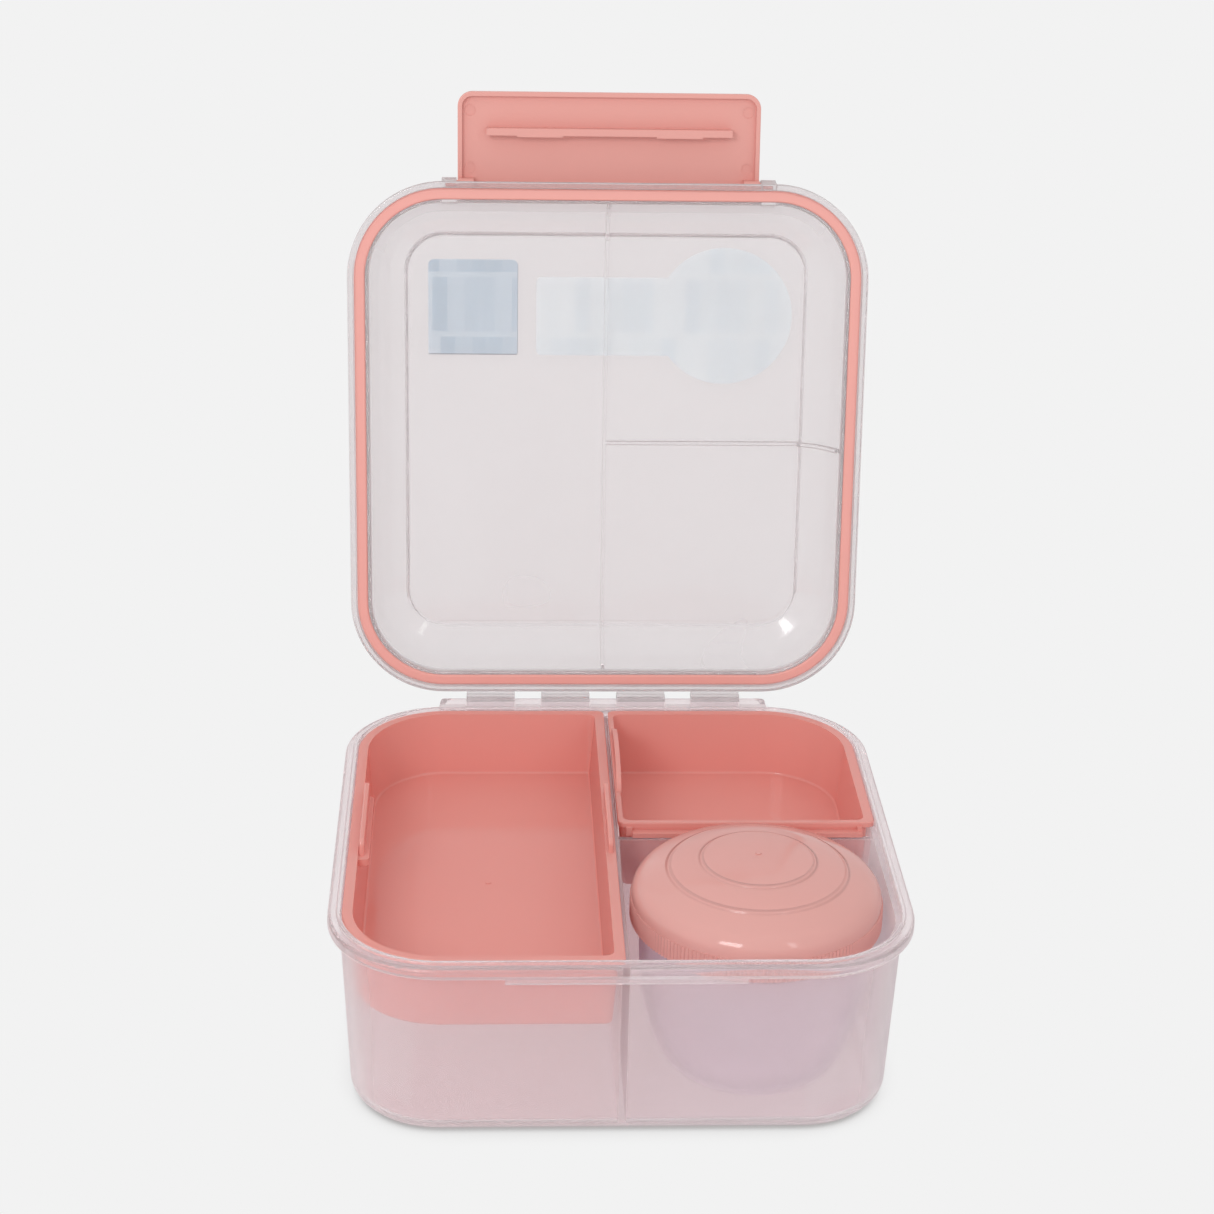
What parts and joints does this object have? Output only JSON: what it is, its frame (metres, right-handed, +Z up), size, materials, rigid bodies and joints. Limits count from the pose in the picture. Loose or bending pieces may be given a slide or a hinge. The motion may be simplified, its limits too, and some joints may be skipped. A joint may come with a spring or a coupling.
{
  "type": "lunch box",
  "caption": "Square bento lunch box with a hinged sealed lid, front clip, two lift-out trays and a screw-top pot.",
  "frame": {"origin": "centre of the tub's underside", "axes": "+Z up, -Y towards the clip at the front, +Y towards the hinge, +X to the right as seen from the front"},
  "size_m": [0.18, 0.2287, 0.272],
  "materials": {
    "frosted_pp": "frosted translucent polypropylene",
    "pink_pp": "semi-gloss moulded pink polypropylene",
    "pot_lid_pp": "paler semi-gloss pink polypropylene",
    "silicone": "matt pink silicone",
    "label_film": "blank pale blue label film"
  },
  "bodies": {
    "base": {"tub": "frosted_pp"},
    "lid": {"lid_shell": "frosted_pp", "lid_seal": "silicone", "label_square": "label_film", "label_keyhole": "label_film"},
    "clip": {"front_clip": "pink_pp"},
    "large_tray_body": {"large_tray": "pink_pp"},
    "small_tray_body": {"small_tray": "pink_pp"},
    "pot": {"pot_cup": "frosted_pp"},
    "pot_seal_body": {"pot_seal": "silicone"},
    "pot_lid_body": {"pot_lid": "pot_lid_pp"}
  },
  "joints": [
    {"name": "lid_hinge", "type": "hinge", "parent": "base", "child": "lid", "pos_m": [0, 0.0936, 0.0612], "axis": [-1, 0, 0], "range_deg": [-97.6, 0]},
    {"name": "clip_pivot", "type": "hinge", "parent": "lid", "child": "clip", "pos_m": [0, 0.12898, 0.24171], "axis": [-1, 0, 0], "range_deg": [-90, 0]},
    {"name": "large_tray_lift", "type": "slide", "parent": "base", "child": "large_tray_body", "axis": [0, 0, 1], "range_m": [0, 0.08]},
    {"name": "small_tray_lift", "type": "slide", "parent": "base", "child": "small_tray_body", "axis": [0, 0, 1], "range_m": [0, 0.08]},
    {"name": "pot_lift", "type": "slide", "parent": "base", "child": "pot", "axis": [0, 0, 1], "range_m": [0, 0.09]},
    {"name": "pot_lid_lift", "type": "slide", "parent": "pot", "child": "pot_seal_body", "axis": [0, 0, 1], "range_m": [0, 0.022]},
    {"name": "pot_lid_turn", "type": "hinge", "parent": "pot_seal_body", "child": "pot_lid_body", "pos_m": [0.0426, -0.0426, 0.06], "axis": [0, 0, 1], "range_deg": [0, 331]}
  ],
  "couplings": [
    {"joint": "pot_lid_turn", "follows": "pot_lid_lift", "rad_per_m": 261.8}
  ]
}
